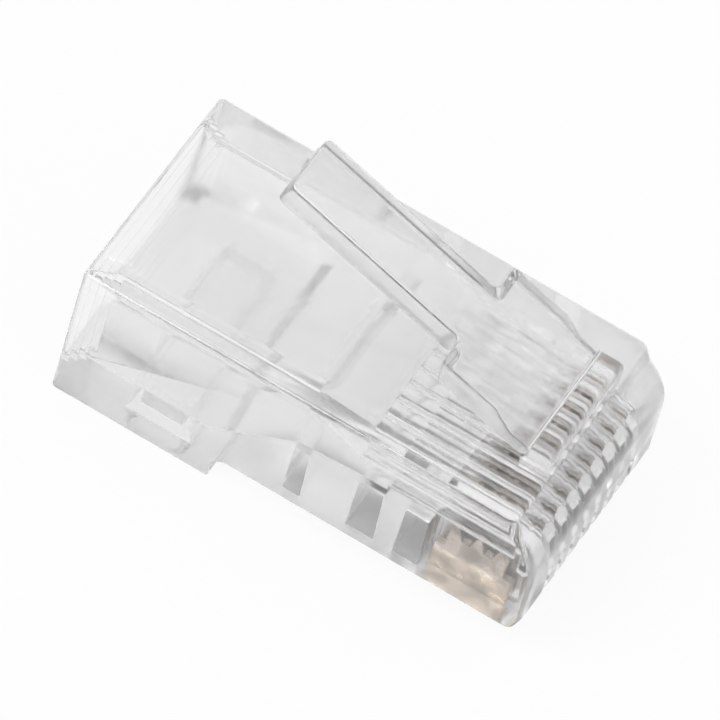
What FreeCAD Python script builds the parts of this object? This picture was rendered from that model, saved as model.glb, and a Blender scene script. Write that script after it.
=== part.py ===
import math
import os
import re

import FreeCAD
import Part
import Sketcher

# Clear eight-contact modular plug, uncrimped, in millimetres.
# +X points to the nose, +Y across the contacts, +Z to the latch side.
# The origin is under the middle of the body, level with the rear block's underside.

SIZES = {
    # body
    "body_length": 22.6,
    "body_width": 11.68,
    "body_height": 8.0,
    "nose_height": 6.6,
    "rear_block_length": 7.7,
    "step_radius": 0.8,
    "front_straight": 3.7,
    "front_round": 2.65,
    "ledge_drop": 0.75,
    "top_setback": 1.45,
    "bevel_length": 0.2,
    "bevel_height": 0.6,
    "edge_round": 0.22,
    "corner_round": 0.4,
    "rear_round": 0.25,
    # cable cavity, measured from the rear face
    "cavity_width": 8.9,
    "cavity_round": 0.6,
    "roof_thickness": 1.0,
    "floor_thickness": 2.2,
    "mouth_flare": 0.65,
    "mouth_drop": 1.17,
    "mouth_rise": 0.455,
    "mouth_depth": 1.4,
    "mouth_round": 1.2,
    "mouth_steps": 4,
    "ramp_start": 7.0,
    # wire channels, measured from the nose front
    "funnel_start": 11.6,
    "channel_start": 8.9,
    "lower_rib_start": 7.4,
    "channel_front": 1.3,
    "channel_bore": 1.06,
    "channel_height": 3.7,
    # contacts
    "contact_count": 8,
    "contact_pitch": 1.016,
    "blade_length": 3.72,
    "blade_height": 3.4,
    "blade_thickness": 0.35,
    "blade_setback": 1.1,
    "blade_proud": 0.3,
    "blade_nose_round": 0.55,
    "blade_heel_round": 0.3,
    "shoulder_height": 1.85,
    "shoulder_length": 0.45,
    "prong_height": 0.75,
    "prong_gap": 0.34,
    "prong_tip": 0.2,
    "slot_clearance": 0.04,
    "slot_end_gap": 0.05,
    "slot_mouth": 2.1,
    "slot_mouth_slope": 0.5,
    # conductor anchor bar and the pockets round it, measured from the nose front
    "side_wall": 1.1,
    "web_thickness": 0.18,
    "anchor_setback": 6.25,
    "anchor_length": 1.1,
    "front_pocket": 1.1,
    "rear_pocket": 1.2,
    "relief_setback": 10.95,
    "relief_length": 0.7,
    "relief_web": 0.27,
    "pocket_draft": 0.08,
    # jacket anchor bar in the rear block's floor
    "jacket_start": 3.74,
    "jacket_length": 2.04,
    "jacket_width": 7.1,
    "jacket_slot": 0.3,
    "die_recess": 0.85,
    "die_margin": 0.3,
    # latch
    "latch_root_height": 1.49,
    "latch_width": 6.2,
    "tail_width": 3.25,
    "hinge_setback": 3.0,
    "knuckle_radius": 0.4,
    "knuckle_clearance": 0.03,
    "knuckle_relief": 0.15,
    "web_length": 0.75,
    "web_ramp": 1.18,
    "latch_rise": 0.99,
    "latch_angle": 19.9,
    "shoulder_reach": 4.98,
    "tail_reach": 14.44,
    "root_front_round": 0.36,
    "shoulder_round": 0.3,
    "tail_corner_round": 0.3,
}

SAME_PLACE = 1e-4
SHORT_EDGE = 0.1
LEAST_CUT = 1e-6

document = FreeCAD.newDocument("ModularPlug")
sheet = document.addObject("Spreadsheet::Sheet", "Sizes")
for row, (alias, number) in enumerate(SIZES.items(), start=1):
    sheet.set(f"A{row}", alias)
    sheet.set(f"B{row}", str(number))
    sheet.setAlias(f"B{row}", alias)
document.recompute()


def linked(formula):
    """The formula with each size's name pointing at its cell."""
    return re.sub(r"[a-z][a-z_]+", lambda word: link(word.group()), formula)


def link(word):
    return "Sizes." + word if word in SIZES else word


def value(formula):
    """The number that a formula gives now."""
    return float(sheet.evalExpression(linked(formula)))


def bind(feature, attribute, formula):
    feature.setExpression(attribute, linked(formula))


def new_body(label):
    body = document.addObject("PartDesign::Body", label)
    body.Label = label
    return body


def origin_plane(body, role):
    return next(item for item in body.Origin.OriginFeatures if item.Role == role)


def new_sketch(body, name, role, offsets):
    """A sketch on one of the body's origin planes, shifted by the given formulas."""
    sketch = body.newObject("Sketcher::SketchObject", name)
    sketch.AttachmentSupport = (origin_plane(body, role), [""])
    sketch.MapMode = "FlatFace"
    for axis, formula in offsets.items():
        bind(sketch, f".AttachmentOffset.Base.{axis}", formula)
    return sketch


def arc_between(start, end, radius, side):
    """The shorter arc between two points. side is 1 for a centre on the left of the chord."""
    chord = end - start
    middle = (start + end) * 0.5
    reach = math.sqrt(radius ** 2 - (chord.Length / 2) ** 2)
    across = FreeCAD.Vector(-chord.y, chord.x, 0).normalize()
    centre = middle + across * reach * side
    first, last = (start, end) if side > 0 else (end, start)
    angles = [math.atan2(point.y - centre.y, point.x - centre.x) for point in (first, last)]
    circle = Part.Circle(centre, FreeCAD.Vector(0, 0, 1), radius)
    return Part.ArcOfCircle(circle, angles[0], angles[1])


def draw_loop(sketch, corners, arcs=None):
    """A closed loop through corners given as formulas. arcs maps a side's index to its
    radius formula and the side that its centre lies on."""
    arcs = arcs or {}
    points = [FreeCAD.Vector(value(across), value(up), 0) for across, up in corners]
    first_side = sketch.GeometryCount
    for index, start in enumerate(points):
        end = points[(index + 1) % len(points)]
        if index in arcs:
            radius, side = arcs[index]
            sketch.addGeometry(arc_between(start, end, value(radius), side))
        else:
            sketch.addGeometry(Part.LineSegment(start, end))
    for index, (across, up) in enumerate(corners):
        here = first_side + index
        before = first_side + (index - 1) % len(points)
        start_pole = 2 if index in arcs and arcs[index][1] < 0 else 1
        last_index = (index - 1) % len(points)
        end_pole = 1 if last_index in arcs and arcs[last_index][1] < 0 else 2
        sketch.addConstraint(Sketcher.Constraint("Coincident", before, end_pole, here, start_pole))
        for kind, formula in (("DistanceX", across), ("DistanceY", up)):
            fixed = Sketcher.Constraint(kind, -1, 1, here, start_pole, value(formula))
            bind(sketch, f"Constraints[{sketch.addConstraint(fixed)}]", formula)
    for index, (radius, side) in arcs.items():
        fixed = Sketcher.Constraint("Radius", first_side + index, value(radius))
        bind(sketch, f"Constraints[{sketch.addConstraint(fixed)}]", radius)


def draw_circle(sketch, across, up, radius):
    middle = FreeCAD.Vector(value(across), value(up), 0)
    sketch.addGeometry(Part.Circle(middle, FreeCAD.Vector(0, 0, 1), value(radius)))
    for kind, formula in (("DistanceX", across), ("DistanceY", up)):
        fixed = Sketcher.Constraint(kind, -1, 1, 0, 3, value(formula))
        bind(sketch, f"Constraints[{sketch.addConstraint(fixed)}]", formula)
    fixed = Sketcher.Constraint("Radius", 0, value(radius))
    bind(sketch, f"Constraints[{sketch.addConstraint(fixed)}]", radius)


def side_loop(body, name, corners, arcs=None, middle="0"):
    """A loop in the plane through the plug's length, with x measured from the rear face."""
    offsets = {"x": "-body_length / 2", "z": f"-({middle})"}
    sketch = new_sketch(body, name, "XZ_Plane", offsets)
    draw_loop(sketch, corners, arcs)
    return sketch


def cross_loop(body, name, station, corners, arcs=None):
    """A loop across the plug, at a distance from the rear face."""
    sketch = new_sketch(body, name, "YZ_Plane", {"z": f"{station} - body_length / 2"})
    draw_loop(sketch, corners, arcs)
    return sketch


def rounded_box(half_width, bottom, top, radius):
    """Corners and arcs of a box with round corners, centred on the plug's middle plane."""
    left, right = f"-({half_width})", f"({half_width})"
    corners = [
        (f"{left} + {radius}", bottom), (f"{right} - {radius}", bottom),
        (right, f"{bottom} + {radius}"), (right, f"{top} - {radius}"),
        (f"{right} - {radius}", top), (f"{left} + {radius}", top),
        (left, f"{top} - {radius}"), (left, f"{bottom} + {radius}"),
    ]
    return corners, {1: (radius, 1), 3: (radius, 1), 5: (radius, 1), 7: (radius, 1)}


def pad(body, sketch, name, length):
    feature = body.newObject("PartDesign::Pad", name)
    feature.Profile = sketch
    feature.Midplane = True
    bind(feature, "Length", length)
    document.recompute()
    return feature


def checked_cut(body, feature, before):
    document.recompute()
    if feature.Shape.Volume > before - LEAST_CUT:
        raise RuntimeError(f"{feature.Name} cuts nothing from {body.Label}")
    return feature


def pocket(body, sketch, name, length, midplane=True, reverse=False):
    before = body.Shape.Volume
    feature = body.newObject("PartDesign::Pocket", name)
    feature.Profile = sketch
    feature.Midplane = midplane
    feature.Reversed = reverse
    bind(feature, "Length", length)
    return checked_cut(body, feature, before)


def loft_cut(body, name, first, second):
    before = body.Shape.Volume
    feature = body.newObject("PartDesign::SubtractiveLoft", name)
    feature.Profile = first
    feature.Sections = [second]
    return checked_cut(body, feature, before)


def across_pattern(body, feature, name):
    """Repeats a cut at every contact, towards the far side."""
    before = body.Shape.Volume
    repeat = body.newObject("PartDesign::LinearPattern", name)
    repeat.Originals = [feature]
    repeat.Direction = (origin_plane(body, "XZ_Plane"), [""])
    repeat.Reversed = True
    bind(repeat, "Length", "contact_pitch * (contact_count - 1)")
    bind(repeat, "Occurrences", "contact_count")
    body.Tip = repeat
    return checked_cut(body, repeat, before)


def edges_where(shape, test):
    """Names of the edges whose box, as low and high corners, passes the test."""
    names = []
    for index, edge in enumerate(shape.Edges, start=1):
        box = edge.BoundBox
        low = FreeCAD.Vector(box.XMin, box.YMin, box.ZMin)
        high = FreeCAD.Vector(box.XMax, box.YMax, box.ZMax)
        if test(low, high):
            names.append(f"Edge{index}")
    return names


def round_edges(body, name, radius, test):
    base = body.Tip
    names = edges_where(base.Shape, test)
    if not names:
        raise RuntimeError(f"{name} finds no edge")
    feature = body.newObject("PartDesign::Fillet", name)
    feature.Base = (base, names)
    bind(feature, "Radius", radius)
    document.recompute()
    return feature


def near(number, other):
    return abs(number - other) < SAME_PLACE


REAR = value("-body_length / 2")
FRONT = value("body_length / 2")
SIDE = value("body_width / 2")
TOP = value("body_height")
NOSE_FLOOR = "(body_height - nose_height)"
CHANNEL = f"({NOSE_FLOOR} + channel_height)"
CHANNEL_FLOOR = f"({CHANNEL} - channel_bore / 2)"
CHANNEL_ROOF = f"({CHANNEL} + channel_bore / 2)"
FIRST_CONTACT = "(-contact_pitch * (contact_count - 1) / 2)"
BANK_HALF = "(contact_pitch * (contact_count - 1) / 2 + channel_bore / 2)"


def from_front(distance):
    return f"(body_length - {distance})"


def add_shell(body):
    """Outer form: deep rear block, thinner nose, round upper front with a ledge."""
    straight_top = f"{NOSE_FLOOR} + front_straight"
    ledge = "body_height - ledge_drop"
    rise = f"({ledge} - ({straight_top}))"
    round_back = f"(front_round - sqrt(front_round ^ 2 - {rise} ^ 2))"
    corners = [
        ("0", "0"),
        ("rear_block_length", "0"),
        ("rear_block_length", NOSE_FLOOR),
        (from_front("bevel_length"), NOSE_FLOOR),
        ("body_length", f"{NOSE_FLOOR} + bevel_height"),
        ("body_length", straight_top),
        (from_front(round_back), ledge),
        (from_front("top_setback"), "body_height"),
        ("0", "body_height"),
    ]
    profile = side_loop(body, "ShellProfile", corners, {5: ("front_round", 1)})
    pad(body, profile, "Shell", "body_width")

    step = value("rear_block_length - body_length / 2")
    floor = value(NOSE_FLOOR)
    round_edges(body, "StepRound", f"min(step_radius, {NOSE_FLOOR} - edge_round)",
                lambda low, high: near(low.x, step) and near(high.x, step) and near(low.z, floor)
                and near(high.z, floor))
    round_edges(body, "FrontCorners", "corner_round",
                lambda low, high: near(abs(low.y), SIDE) and near(low.y, high.y)
                and low.x > value("body_length / 2 - front_round") and high.z - low.z > SHORT_EDGE)
    round_edges(body, "TopEdges", "edge_round",
                lambda low, high: near(abs(low.y), SIDE) and near(low.y, high.y)
                and near(low.z, TOP) and near(high.z, TOP))
    round_edges(body, "RearUprights", "rear_round",
                lambda low, high: near(low.x, REAR) and near(high.x, REAR)
                and near(abs(low.y), SIDE) and near(low.y, high.y))


def add_cavity(body):
    """Cable cavity: stepped mouth, straight throat, then a funnel down to the wire channels."""
    roof = "body_height - roof_thickness"
    half = "cavity_width / 2"
    funnel = from_front("funnel_start")
    throat_corners = [
        ("0", "floor_thickness"),
        ("ramp_start", "floor_thickness"),
        (funnel, CHANNEL_FLOOR),
        (funnel, roof),
        ("0", roof),
    ]
    pocket(body, side_loop(body, "ThroatProfile", throat_corners), "Throat", "cavity_width")
    ceiling, wall = value(roof), value(half)
    round_edges(body, "ThroatCorners", "cavity_round",
                lambda low, high: near(abs(low.y), wall) and near(low.y, high.y)
                and near(low.z, ceiling) and near(high.z, ceiling))

    for step in range(int(value("mouth_steps"))):
        share = f"(1 - {step} / mouth_steps)"
        outline, arcs = rounded_box(f"{half} + mouth_flare * {share}",
                                    f"floor_thickness - mouth_drop * {share}",
                                    f"{roof} + mouth_rise * {share}", "mouth_round")
        name = f"MouthStep{step + 1}"
        pocket(body, cross_loop(body, name + "Outline", "0", outline, arcs), name,
               f"mouth_depth * {step + 1} / mouth_steps", midplane=False, reverse=True)

    wide = [(f"-{half}", CHANNEL_FLOOR), (half, CHANNEL_FLOOR), (half, roof), (f"-{half}", roof)]
    narrow = [
        (f"-{BANK_HALF}", CHANNEL_FLOOR),
        (BANK_HALF, CHANNEL_FLOOR),
        (BANK_HALF, CHANNEL_ROOF),
        (f"-{BANK_HALF}", CHANNEL_ROOF),
    ]
    loft_cut(body, "Funnel",
             cross_loop(body, "FunnelWide", funnel, wide),
             cross_loop(body, "FunnelNarrow", from_front("channel_start"), narrow))


def add_channels(body):
    """Eight wire channels that meet side by side, so that ribs stand between them."""
    station = from_front("channel_start")
    bore = new_sketch(body, "ChannelBore", "YZ_Plane", {"z": f"{station} - body_length / 2"})
    draw_circle(bore, FIRST_CONTACT, CHANNEL, "channel_bore / 2")
    channel = pocket(body, bore, "Channel", "channel_start - channel_front",
                     midplane=False, reverse=True)
    across_pattern(body, channel, "Channels")

    flat = [
        (station, CHANNEL_FLOOR),
        (from_front("lower_rib_start"), CHANNEL_FLOOR),
        (from_front("lower_rib_start"), CHANNEL),
        (station, CHANNEL),
    ]
    pocket(body, side_loop(body, "RibEntryProfile", flat), "RibEntry", f"2 * {BANK_HALF}")


def add_contact_slots(body):
    """A slot for each blade, open below and through the lower front, up to its channel."""
    heel = from_front("(blade_setback + blade_length + slot_end_gap)")
    toe = from_front("(blade_setback - slot_end_gap)")
    below = f"{NOSE_FLOOR} - blade_proud"
    corners = [
        (heel, below),
        (from_front("-blade_proud"), below),
        (from_front("-blade_proud"), f"{NOSE_FLOOR} + slot_mouth"),
        (toe, f"{NOSE_FLOOR} + slot_mouth + slot_mouth_slope"),
        (toe, CHANNEL),
        (heel, CHANNEL),
    ]
    profile = side_loop(body, "SlotProfile", corners, middle=FIRST_CONTACT)
    slot = pocket(body, profile, "Slot", "blade_thickness + 2 * slot_clearance")
    across_pattern(body, slot, "Slots")


def underside_pocket(body, name, front, length, width, roof):
    """A pocket with slightly leaning ends, from the underside of the nose to its roof."""
    rear = f"({front} + {length})"
    corners = [
        (from_front(f"({rear} + pocket_draft)"), f"{NOSE_FLOOR} - pocket_draft"),
        (from_front(f"({front} - pocket_draft)"), f"{NOSE_FLOOR} - pocket_draft"),
        (from_front(front), roof),
        (from_front(rear), roof),
    ]
    pocket(body, side_loop(body, name + "Profile", corners), name, width)


def add_anchors(body):
    """The two moulded anchor bars, each between pockets that leave thin webs over them."""
    width = "body_width - 2 * side_wall"
    roof = f"{CHANNEL_FLOOR} - web_thickness"
    ahead = "(anchor_setback - front_pocket)"
    behind = "(anchor_setback + anchor_length)"
    underside_pocket(body, "FrontPocket", ahead, "front_pocket", width, roof)
    underside_pocket(body, "RearPocket", behind, "rear_pocket", width, roof)
    underside_pocket(body, "ReliefPocket", "relief_setback", "relief_length", width,
                     f"{CHANNEL_FLOOR} - relief_web")

    jacket_end = "(jacket_start + jacket_length)"
    web = "floor_thickness - web_thickness"
    die = [
        ("jacket_start - jacket_slot - die_margin", "-pocket_draft"),
        (f"{jacket_end} + jacket_slot + die_margin", "-pocket_draft"),
        (f"{jacket_end} + jacket_slot", "die_recess"),
        (f"{jacket_end} + jacket_slot", web),
        (jacket_end, web),
        (jacket_end, "die_recess"),
        ("jacket_start", "die_recess"),
        ("jacket_start", web),
        ("jacket_start - jacket_slot", web),
        ("jacket_start - jacket_slot", "die_recess"),
    ]
    pocket(body, side_loop(body, "JacketProfile", die), "JacketAnchor", "jacket_width")


HINGE_FROM_REAR = from_front("hinge_setback")
HINGE_HEIGHT = "(body_height + latch_root_height - knuckle_radius)"


def add_latch_root(body):
    """The raised root on the nose that the latch bends from, with a round seat."""
    rear = f"{HINGE_FROM_REAR} + knuckle_relief"
    corners = [
        (rear, "body_height - edge_round"),
        (from_front("top_setback"), "body_height - edge_round"),
        (from_front("top_setback"), "body_height + latch_root_height"),
        (rear, "body_height + latch_root_height"),
    ]
    pad(body, side_loop(body, "RootProfile", corners), "LatchRoot", "latch_width")
    root_top = value("body_height + latch_root_height")
    front = value("body_length / 2 - top_setback")
    round_edges(body, "RootFront", "root_front_round",
                lambda low, high: near(low.x, front) and near(high.x, front)
                and near(low.z, root_top) and near(high.z, root_top))

    seat = new_sketch(body, "SeatProfile", "XZ_Plane", {"x": "-body_length / 2", "z": "0"})
    draw_circle(seat, HINGE_FROM_REAR, HINGE_HEIGHT, "knuckle_radius + knuckle_clearance")
    pocket(body, seat, "KnuckleSeat", "latch_width")


def make_housing():
    body = new_body("housing")
    add_shell(body)
    add_cavity(body)
    add_channels(body)
    add_contact_slots(body)
    add_anchors(body)
    add_latch_root(body)
    return body


def make_latch():
    """The lever is drawn lying flat, then turned about its hinge to the free angle."""
    body = new_body("latch_lever")
    profile = new_sketch(body, "LeverProfile", "XZ_Plane", {})
    corners = [
        ("0", "-knuckle_radius"),
        ("knuckle_radius", "0"),
        ("0", "knuckle_radius"),
        ("-web_length", "knuckle_radius"),
        ("-web_length - web_ramp", "latch_rise"),
        ("-tail_reach", "latch_rise"),
        ("-tail_reach", "-knuckle_radius"),
    ]
    draw_loop(profile, corners, {0: ("knuckle_radius", 1), 1: ("knuckle_radius", 1)})
    pad(body, profile, "Lever", "latch_width")

    # the stop face leans so that it stands upright while the latch is free
    foot = "(-shoulder_reach + (latch_rise + knuckle_radius) * tan(latch_angle))"
    beyond = "(-tail_reach - tail_corner_round)"
    wing = "((latch_width - tail_width) / 2 + tail_corner_round)"
    for name, side in (("NearWing", -1), ("FarWing", 1)):
        middle = f"{side} * (tail_width / 2 + {wing} / 2)"
        cut = new_sketch(body, name + "Profile", "XZ_Plane", {"z": f"-({middle})"})
        draw_loop(cut, [(beyond, "-knuckle_radius"), (foot, "-knuckle_radius"),
                        ("-shoulder_reach", "latch_rise"), (beyond, "latch_rise")])
        pocket(body, cut, name, wing)

    reach = value("-tail_reach")
    half_tail = value("tail_width / 2")
    round_edges(body, "TailCorners", "tail_corner_round",
                lambda low, high: near(low.x, reach) and near(high.x, reach)
                and near(abs(low.y), half_tail) and near(low.y, high.y))
    stop_top = value("-shoulder_reach")
    round_edges(body, "ShoulderCorners", "shoulder_round",
                lambda low, high: near(low.x, stop_top) and near(high.x, value(foot))
                and near(abs(low.y), half_tail) and near(low.y, high.y))
    return body


def make_contact(index):
    """A flat gold-plated blade with a round foot and three piercing prongs on top."""
    body = new_body(f"contact_{index + 1}")
    middle = f"{FIRST_CONTACT} + contact_pitch * {index}"
    heel = from_front("(blade_setback + blade_length)")
    toe = from_front("blade_setback")
    foot = f"({NOSE_FLOOR} - blade_proud)"
    crown = f"({foot} + blade_height)"
    shoulder = f"({foot} + shoulder_height)"
    root = f"({crown} - prong_height)"
    bank = f"({heel} + shoulder_length)"
    prong = "((blade_length - 2 * shoulder_length - 2 * prong_gap) / 3)"
    corners = [
        (f"{heel} + blade_heel_round", foot),
        (f"{toe} - blade_nose_round", foot),
        (toe, f"{foot} + blade_nose_round"),
        (toe, shoulder),
        (f"{toe} - shoulder_length", shoulder),
    ]
    for step in (2, 1, 0):
        start = f"({bank} + {step} * ({prong} + prong_gap))"
        end = f"({start} + {prong})"
        corners += [
            (end, root),
            (f"({start} + {end} + prong_tip) / 2", crown),
            (f"({start} + {end} - prong_tip) / 2", crown),
            (start, root),
        ]
    corners += [
        (bank, shoulder),
        (heel, shoulder),
        (heel, f"{foot} + blade_heel_round"),
    ]
    arcs = {1: ("blade_nose_round", 1), len(corners) - 1: ("blade_heel_round", 1)}
    profile = side_loop(body, f"BladeProfile{index + 1}", corners, arcs, middle=middle)
    pad(body, profile, f"Blade{index + 1}", "blade_thickness")
    return body


housing = make_housing()
latch_lever = make_latch()
latch_lever.Placement.Rotation = FreeCAD.Rotation(FreeCAD.Vector(0, 1, 0), value("latch_angle"))
bind(latch_lever, ".Placement.Base.x", "body_length / 2 - hinge_setback")
bind(latch_lever, ".Placement.Base.z", HINGE_HEIGHT)
bind(latch_lever, ".Placement.Rotation.Angle", "latch_angle")
contacts = [make_contact(index) for index in range(int(value("contact_count")))]
document.recompute()

pieces = [housing, latch_lever] + contacts
for item in document.Objects:
    if "Invalid" in item.State or "Error" in item.State:
        raise RuntimeError(f"{item.Label} failed: {item.State}")
for piece in pieces:
    if piece.Shape.isNull() or not piece.Shape.isValid():
        raise RuntimeError(f"{piece.Label} has no valid shape")

os.makedirs("parts", exist_ok=True)
for piece in pieces:
    piece.Shape.exportStep(f"parts/{piece.Label}.step")
    print(piece.Label, len(piece.Shape.Solids), round(piece.Shape.Volume, 3))
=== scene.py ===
import math
import bmesh
import bpy
from mathutils import Matrix, Vector
from mathutils.bvhtree import BVHTree


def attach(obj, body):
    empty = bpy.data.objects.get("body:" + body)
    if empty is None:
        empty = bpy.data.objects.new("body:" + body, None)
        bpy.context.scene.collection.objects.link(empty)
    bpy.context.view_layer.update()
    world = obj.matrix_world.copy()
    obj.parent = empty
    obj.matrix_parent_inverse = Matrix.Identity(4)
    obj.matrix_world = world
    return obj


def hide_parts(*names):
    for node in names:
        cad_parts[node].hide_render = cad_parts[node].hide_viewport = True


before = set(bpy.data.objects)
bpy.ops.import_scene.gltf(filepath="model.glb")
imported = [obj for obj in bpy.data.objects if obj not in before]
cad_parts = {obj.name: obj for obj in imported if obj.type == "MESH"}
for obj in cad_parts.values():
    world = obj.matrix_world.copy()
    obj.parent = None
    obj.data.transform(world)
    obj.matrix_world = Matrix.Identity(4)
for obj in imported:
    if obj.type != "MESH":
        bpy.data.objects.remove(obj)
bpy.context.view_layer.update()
mm = 0.001
scene = bpy.context.scene
print("frame loaded:", len(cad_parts), "nodes")


# picture: clear plastic passes and mirrors light many times before it leaves

pictureValues = {"passes": 32, "mirrorings": 12}

scene.view_settings.view_transform = "Standard"
scene.cycles.max_bounces = pictureValues["passes"]
scene.cycles.transmission_bounces = pictureValues["passes"]
scene.cycles.glossy_bounces = pictureValues["mirrorings"]


# camera: a long lens from above the near side, rolled the way the plug lies in the picture

cameraValues = {
    "azimuth": 16.257, "elevation": 52.724, "roll": 17.11,   # degrees
    "lens": 1032.75, "sensor": 36.0,
    "distance": 867.8 * mm, "aim": (-0.15 * mm, 0.0, 4.0 * mm),
    "moveLeft": 0.065 * mm, "moveUp": 0.445 * mm,   # so that the plug sits as in the picture
}


def addCamera(values):
    azimuth, elevation = (math.radians(values[name]) for name in ("azimuth", "elevation"))
    right = Vector((math.cos(azimuth), math.sin(azimuth), 0.0))
    back = Vector((math.sin(azimuth) * math.cos(elevation),
                   -math.cos(azimuth) * math.cos(elevation), math.sin(elevation)))
    up = back.cross(right)
    roll = math.radians(values["roll"])
    across = right * math.cos(roll) + up * math.sin(roll)
    upward = up * math.cos(roll) - right * math.sin(roll)
    data = bpy.data.cameras.new("camera")
    data.lens = values["lens"]
    data.sensor_width = values["sensor"]
    camera = bpy.data.objects.new("camera", data)
    scene.collection.objects.link(camera)
    place = Vector(values["aim"]) + back * values["distance"]
    place += upward * values["moveUp"] - across * values["moveLeft"]
    turn = Matrix((across, upward, back)).transposed().to_4x4()
    camera.matrix_world = Matrix.Translation(place) @ turn
    scene.camera = camera


addCamera(cameraValues)
print("camera set")


# node helpers

def addNode(tree, kind, inputs=None, **settings):
    node = tree.nodes.new(kind)
    for name, setting in settings.items():
        setattr(node, name, setting)
    for name, source in (inputs or {}).items():
        if isinstance(source, bpy.types.NodeSocket):
            tree.links.new(source, node.inputs[name])
        else:
            node.inputs[name].default_value = source
    return node


def addMath(tree, operation, *sources):
    return addNode(tree, "ShaderNodeMath", dict(enumerate(sources)), operation=operation).outputs[0]


def addRange(tree, source, fromLow, fromHigh, toLow, toHigh, **settings):
    return addNode(tree, "ShaderNodeMapRange", {
        "Value": source, "From Min": fromLow, "From Max": fromHigh,
        "To Min": toLow, "To Max": toHigh}, **settings).outputs[0]


def addMix(tree, share, first, second):
    return addNode(tree, "ShaderNodeMix", {0: share, 6: first, 7: second},
                   data_type="RGBA").outputs[2]


def addVectorMath(tree, operation, *sources):
    return addNode(tree, "ShaderNodeVectorMath", dict(enumerate(sources)), operation=operation)


def newMaterial(name):
    material = bpy.data.materials.new(name)
    material.use_nodes = True
    material.node_tree.nodes.clear()
    return material, material.node_tree


def finishMaterial(tree, shader):
    addNode(tree, "ShaderNodeOutputMaterial", {"Surface": shader.outputs[0]})


# what handling leaves on plastic and metal alike: soft smears, and fine rubbed lines along the plug

markValues = {
    "smearDetail": 4.0, "smearRoughness": 0.55, "smearRange": (0.38, 0.66),
    "drawnOut": (0.06, 1.0, 1.0), "rubDetail": 2.0, "rubRange": (0.56, 0.74),
}


def makeHandlingMarks(values):
    group = bpy.data.node_groups.new("handlingMarks", "ShaderNodeTree")
    for name, kind in (("Place", "Vector"), ("Smear Scale", "Float"), ("Rub Scale", "Float")):
        group.interface.new_socket(name, in_out="INPUT", socket_type="NodeSocket" + kind)
    for name in ("Smears", "Rubs"):
        group.interface.new_socket(name, in_out="OUTPUT", socket_type="NodeSocketFloat")
    entry = addNode(group, "NodeGroupInput").outputs
    smears = addNode(group, "ShaderNodeTexNoise", {
        "Vector": entry["Place"], "Scale": entry["Smear Scale"],
        "Detail": values["smearDetail"], "Roughness": values["smearRoughness"]}).outputs["Fac"]
    along = addVectorMath(group, "MULTIPLY", entry["Place"], values["drawnOut"]).outputs[0]
    rubs = addNode(group, "ShaderNodeTexNoise", {
        "Vector": along, "Scale": entry["Rub Scale"], "Detail": values["rubDetail"]}).outputs["Fac"]
    addNode(group, "NodeGroupOutput", {
        "Smears": addRange(group, smears, *values["smearRange"], 0.0, 1.0,
                           interpolation_type="SMOOTHSTEP"),
        "Rubs": addRange(group, rubs, *values["rubRange"], 0.0, 1.0)})
    return group


handlingMarks = makeHandlingMarks(markValues)


def addMarks(tree, smearScale, rubScale):
    marks = addNode(tree, "ShaderNodeGroup", node_tree=handlingMarks)
    place = addNode(tree, "ShaderNodeTexCoord").outputs["Object"]
    tree.links.new(place, marks.inputs["Place"])
    marks.inputs["Smear Scale"].default_value = smearScale
    marks.inputs["Rub Scale"].default_value = rubScale
    return place, marks.outputs["Smears"], marks.outputs["Rubs"]


# copies of the model's own shapes, merged and smoothed

shapeValues = {
    "mergeWithin": 0.0005 * mm, "flatWithin": math.radians(0.3),
    "lookFrom": 0.002 * mm, "lookTo": 30 * mm,   # how far a face looks straight ahead
}


# a face is inside, and takes the second finish, where it looks at its own piece
def markInside(form, values):
    tree = BVHTree.FromBMesh(form)
    for face in form.faces:
        start = face.calc_center_median() + face.normal * values["lookFrom"]
        if tree.ray_cast(start, face.normal, values["lookTo"])[0] is not None:
            face.material_index = 1


def smoothMesh(nodeName, sharpFrom, insideMarked=False):
    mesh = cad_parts[nodeName].data.copy()
    mesh.name = nodeName + "Smooth"
    mesh.materials.clear()
    form = bmesh.new()
    form.from_mesh(mesh)
    bmesh.ops.remove_doubles(form, verts=form.verts, dist=shapeValues["mergeWithin"])
    bmesh.ops.dissolve_limit(form, angle_limit=shapeValues["flatWithin"],
                             verts=form.verts, edges=form.edges)
    for face in form.faces:
        face.smooth = True
    for edge in form.edges:
        edge.smooth = len(edge.link_faces) == 2 and edge.calc_face_angle() < sharpFrom
    if insideMarked:
        markInside(form, shapeValues)
    form.to_mesh(mesh)
    form.free()
    return mesh


def addPiece(name, mesh):
    piece = bpy.data.objects.new(name, mesh)
    scene.collection.objects.link(piece)
    return piece


def softenEdges(piece, width, steps, sharpFrom):
    bevel = piece.modifiers.new("softEdges", "BEVEL")
    bevel.width = width
    bevel.segments = steps
    bevel.limit_method = "ANGLE"
    bevel.angle_limit = sharpFrom
    bevel.harden_normals = True


# clear plastic of the body and its latch: slightly milky, as thick moulded polycarbonate looks

plasticValues = {
    "colour": (0.996, 0.997, 0.999, 1.0), "ior": 1.585,
    "handled": {"clear": 0.94, "roughClean": 0.07, "roughSmeared": 0.16},   # outside
    "moulded": {"clear": 0.995, "roughClean": 0.11, "roughSmeared": 0.17},   # inside
    "smearScale": 350.0, "rubScale": 3500.0, "rubShare": 0.6,   # scales are marks per metre
    "flowScale": 160.0, "flowDetail": 1.0, "flowStrength": 0.3, "flowRise": 0.004 * mm,
    "latchEdge": 0.18 * mm, "edgeSteps": 4, "sharpFrom": math.radians(32),
}


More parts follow.
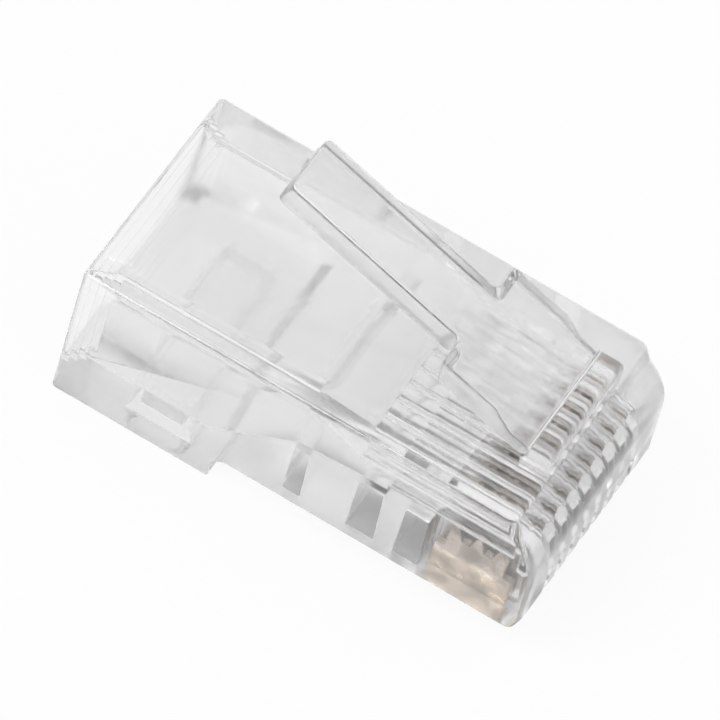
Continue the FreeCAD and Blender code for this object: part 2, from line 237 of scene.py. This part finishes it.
def makePlastic(values, finishName):
    finish = values[finishName]
    material, tree = newMaterial(finishName + "Polycarbonate")
    place, smears, rubs = addMarks(tree, values["smearScale"], values["rubScale"])
    flow = addNode(tree, "ShaderNodeTexNoise", {
        "Vector": place, "Scale": values["flowScale"], "Detail": values["flowDetail"]})
    worn = addMath(tree, "MAXIMUM", smears, addMath(tree, "MULTIPLY", rubs, values["rubShare"]))
    rough = addRange(tree, worn, 0.0, 1.0, finish["roughClean"], finish["roughSmeared"])
    bump = addNode(tree, "ShaderNodeBump", {
        "Height": flow.outputs["Fac"], "Strength": values["flowStrength"],
        "Distance": values["flowRise"]})
    shader = addNode(tree, "ShaderNodeBsdfPrincipled", {
        "Base Color": values["colour"], "Roughness": rough, "IOR": values["ior"],
        "Transmission Weight": finish["clear"], "Normal": bump.outputs[0]})
    finishMaterial(tree, shader)
    return material


plastics = [makePlastic(plasticValues, finishName) for finishName in ("handled", "moulded")]
for nodeName, body in (("housing", "housing"), ("latch_lever", "latch")):
    mesh = smoothMesh(nodeName, plasticValues["sharpFrom"], insideMarked=True)
    for material in plastics:
        mesh.materials.append(material)
    piece = addPiece(nodeName + "Clear", mesh)
    if body == "latch":
        softenEdges(piece, plasticValues["latchEdge"], plasticValues["edgeSteps"],
                    plasticValues["sharpFrom"])
    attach(piece, body)
    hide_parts(nodeName)
print("clear plastic made")


# gold-plated blades: one stamped blade, repeated at the contacts' pitch

bladeValues = {
    "number": 8, "pitch": 1.016 * mm,
    "edge": 0.025 * mm, "edgeSteps": 2, "sharpFrom": math.radians(25),
    "gold": (0.61, 0.49, 0.37, 1.0), "thin": (0.66, 0.57, 0.49, 1.0),
    "worn": (0.14, 0.11, 0.08, 1.0), "wornShare": 0.5,
    "platedTo": 2.55 * mm, "platedBlend": 0.12 * mm, "platedRagged": 0.1 * mm,   # heights
    "roughClean": 0.24, "roughWorn": 0.42,
    "smearScale": 900.0, "rubScale": 9000.0, "rubStrength": 0.2, "rubDepth": 0.002 * mm,
    "darkest": 0.82, "seed": 7,   # each blade has its own tone
}


def makeGold(values):
    material, tree = newMaterial("goldPlate")
    place, smears, rubs = addMarks(tree, values["smearScale"], values["rubScale"])
    height = addNode(tree, "ShaderNodeSeparateXYZ", {"Vector": place}).outputs["Z"]
    ragged = addMath(tree, "MULTIPLY_ADD", smears, values["platedRagged"], height)
    line = addRange(tree, ragged, values["platedTo"] - values["platedBlend"],
                    values["platedTo"] + values["platedBlend"], 0.0, 1.0)
    plated = addMix(tree, line, values["gold"], values["thin"])
    wornPart = addMath(tree, "MULTIPLY", smears, values["wornShare"])
    marked = addMix(tree, wornPart, plated, values["worn"])
    tone = addNode(tree, "ShaderNodeAttribute", attribute_name="bladeTone").outputs["Fac"]
    toned = addVectorMath(tree, "SCALE", marked)
    tree.links.new(tone, toned.inputs["Scale"])
    rough = addRange(tree, addMath(tree, "MAXIMUM", smears, rubs), 0.0, 1.0,
                     values["roughClean"], values["roughWorn"])
    bump = addNode(tree, "ShaderNodeBump", {
        "Height": rubs, "Strength": values["rubStrength"], "Distance": values["rubDepth"]})
    shader = addNode(tree, "ShaderNodeBsdfPrincipled", {
        "Base Color": toned.outputs[0], "Metallic": 1.0, "Roughness": rough,
        "Normal": bump.outputs[0]})
    finishMaterial(tree, shader)
    return material


def makeBladeRow():
    tree = bpy.data.node_groups.new("bladeRow", "GeometryNodeTree")
    inputs = {}
    for name, kind in (("Blade", "Geometry"), ("Number", "Int"), ("Pitch", "Float"),
                       ("Darkest", "Float"), ("Seed", "Int"), ("Plating", "Material")):
        inputs[name] = tree.interface.new_socket(name, in_out="INPUT",
                                                 socket_type="NodeSocket" + kind)
    tree.interface.new_socket("Row", in_out="OUTPUT", socket_type="NodeSocketGeometry")
    entry = addNode(tree, "NodeGroupInput").outputs
    across = addMath(tree, "MULTIPLY", entry["Number"], entry["Pitch"])
    start = addNode(tree, "ShaderNodeCombineXYZ", {"Y": across}).outputs[0]
    spot = addNode(tree, "GeometryNodeMeshLine", {"Count": 1, "Start Location": start})
    placed = addNode(tree, "GeometryNodeInstanceOnPoints", {
        "Points": spot.outputs[0], "Instance": entry["Blade"]})
    single = addNode(tree, "GeometryNodeRealizeInstances", {"Geometry": placed.outputs[0]})
    tone = addNode(tree, "FunctionNodeRandomValue", {
        2: entry["Darkest"], 3: 1.0, "ID": entry["Number"], "Seed": entry["Seed"]},
        data_type="FLOAT")
    toned = addNode(tree, "GeometryNodeStoreNamedAttribute", {
        "Geometry": single.outputs[0], "Name": "bladeTone", "Value": tone.outputs[1]})
    plated = addNode(tree, "GeometryNodeSetMaterial", {
        "Geometry": toned.outputs[0], "Material": entry["Plating"]})
    addNode(tree, "NodeGroupOutput", {"Row": plated.outputs[0]})
    return tree, {name: socket.identifier for name, socket in inputs.items()}


gold = makeGold(bladeValues)
bladeRow, rowInputs = makeBladeRow()
stamped = smoothMesh("contact_1", bladeValues["sharpFrom"])
for number in range(bladeValues["number"]):
    maker = addPiece("bladeMaker", stamped.copy())
    row = maker.modifiers.new("bladeRow", "NODES")
    row.node_group = bladeRow
    for name, value in (("Number", number), ("Pitch", bladeValues["pitch"]),
                        ("Darkest", bladeValues["darkest"]), ("Seed", bladeValues["seed"]),
                        ("Plating", gold)):
        row[rowInputs[name]] = value
    softenEdges(maker, bladeValues["edge"], bladeValues["edgeSteps"], bladeValues["sharpFrom"])
    evaluated = maker.evaluated_get(bpy.context.evaluated_depsgraph_get())
    mesh = bpy.data.meshes.new_from_object(evaluated)
    bpy.data.objects.remove(maker)
    nodeName = f"contact_{number + 1}"
    blade = addPiece(f"blade_{number + 1}", mesh)
    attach(blade, nodeName)
    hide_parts(nodeName)
print("gold blades made")


# floor, sky and lamps; what clear plastic and metal show differs from what lights them

stageValues = {
    "floorSize": 0.9, "floorDrop": 0.02 * mm,   # clear of the flat underside
    "floorColour": (0.9, 0.9, 0.9, 1.0),
    "floorGlow": 0.92, "floorGlowBent": 0.72,   # seen straight, and through plastic or in metal
    "shadeMiddle": (5.5 * mm, -3.3 * mm, 0.0),   # the floor is in shade under the raised nose
    "shadeReach": (7.0 * mm, 1.8 * mm, 1.0), "shadeEnds": (0.8, 1.3), "shadeGlow": 0.0,
    "skyLight": 0.85,   # what lights the object
    "skyEnds": (0.1, 0.55), "skyLow": 0.8, "skyHigh": 1.0,   # what plastic and metal show
    "nearEnds": (-0.3, -0.62), "nearShade": 0.15,   # darker towards the viewer's side
    "lamps": (("keyLamp", (-0.25, -0.25, 0.5), 1.25, 0.3),
              ("fillLamp", (0.45, -0.15, 0.25), 0.4, 0.35)),   # name, place, watts, size
}


def addRays(tree):
    ray = addNode(tree, "ShaderNodeLightPath").outputs
    bent = addMath(tree, "MAXIMUM", ray["Is Glossy Ray"], ray["Is Transmission Ray"])
    return ray["Is Camera Ray"], bent


def addFloor(values):
    mesh = bpy.data.meshes.new("floor")
    form = bmesh.new()
    bmesh.ops.create_grid(form, x_segments=1, y_segments=1, size=values["floorSize"])
    form.to_mesh(mesh)
    form.free()
    floor = addPiece("floor", mesh)
    floor.location.z = -values["floorDrop"]
    material, tree = newMaterial("paleFloor")
    straight, bent = addRays(tree)
    place = addNode(tree, "ShaderNodeTexCoord").outputs["Object"]
    offset = addVectorMath(tree, "SUBTRACT", place, values["shadeMiddle"]).outputs[0]
    offset = addVectorMath(tree, "DIVIDE", offset, values["shadeReach"]).outputs[0]
    away = addVectorMath(tree, "LENGTH", offset).outputs["Value"]
    bentGlow = addRange(tree, away, *values["shadeEnds"], values["shadeGlow"],
                        values["floorGlowBent"], interpolation_type="SMOOTHSTEP")
    glowing = addNode(tree, "ShaderNodeMix", {
        0: straight, 2: addMath(tree, "MULTIPLY", bent, bentGlow),
        3: values["floorGlow"]}).outputs[0]
    diffuse = addNode(tree, "ShaderNodeBsdfDiffuse", {"Color": values["floorColour"]})
    glow = addNode(tree, "ShaderNodeEmission", {"Strength": 1.0})
    finishMaterial(tree, addNode(tree, "ShaderNodeMixShader", {
        0: glowing, 1: diffuse.outputs[0], 2: glow.outputs[0]}))
    mesh.materials.append(material)


def addSky(values):
    world = bpy.data.worlds.new("studio")
    scene.world = world
    world.use_nodes = True
    tree = world.node_tree
    tree.nodes.clear()
    straight, bent = addRays(tree)
    direction = addNode(tree, "ShaderNodeTexCoord").outputs["Generated"]
    towards = addNode(tree, "ShaderNodeSeparateXYZ", {"Vector": direction}).outputs
    shown = addRange(tree, towards["Z"], *values["skyEnds"], values["skyLow"], values["skyHigh"],
                     interpolation_type="SMOOTHSTEP")
    shade = addRange(tree, towards["Y"], *values["nearEnds"], 1.0, values["nearShade"],
                     interpolation_type="SMOOTHSTEP")
    shown = addMath(tree, "MULTIPLY", shown, shade)
    level = addNode(tree, "ShaderNodeMix", {0: bent, 2: values["skyLight"], 3: shown}).outputs[0]
    level = addNode(tree, "ShaderNodeMix", {0: straight, 2: level, 3: 1.0}).outputs[0]
    sky = addNode(tree, "ShaderNodeBackground", {"Strength": level})
    addNode(tree, "ShaderNodeOutputWorld", {"Surface": sky.outputs[0]})


def addLamps(values):
    for name, place, watts, size in values["lamps"]:
        lamp = bpy.data.lights.new(name, "AREA")
        lamp.energy = watts
        lamp.size = size
        light = addPiece(name, lamp)
        light.location = place
        light.rotation_euler = (-Vector(place)).to_track_quat("-Z", "Y").to_euler()


addFloor(stageValues)
addSky(stageValues)
addLamps(stageValues)
print("stage made")
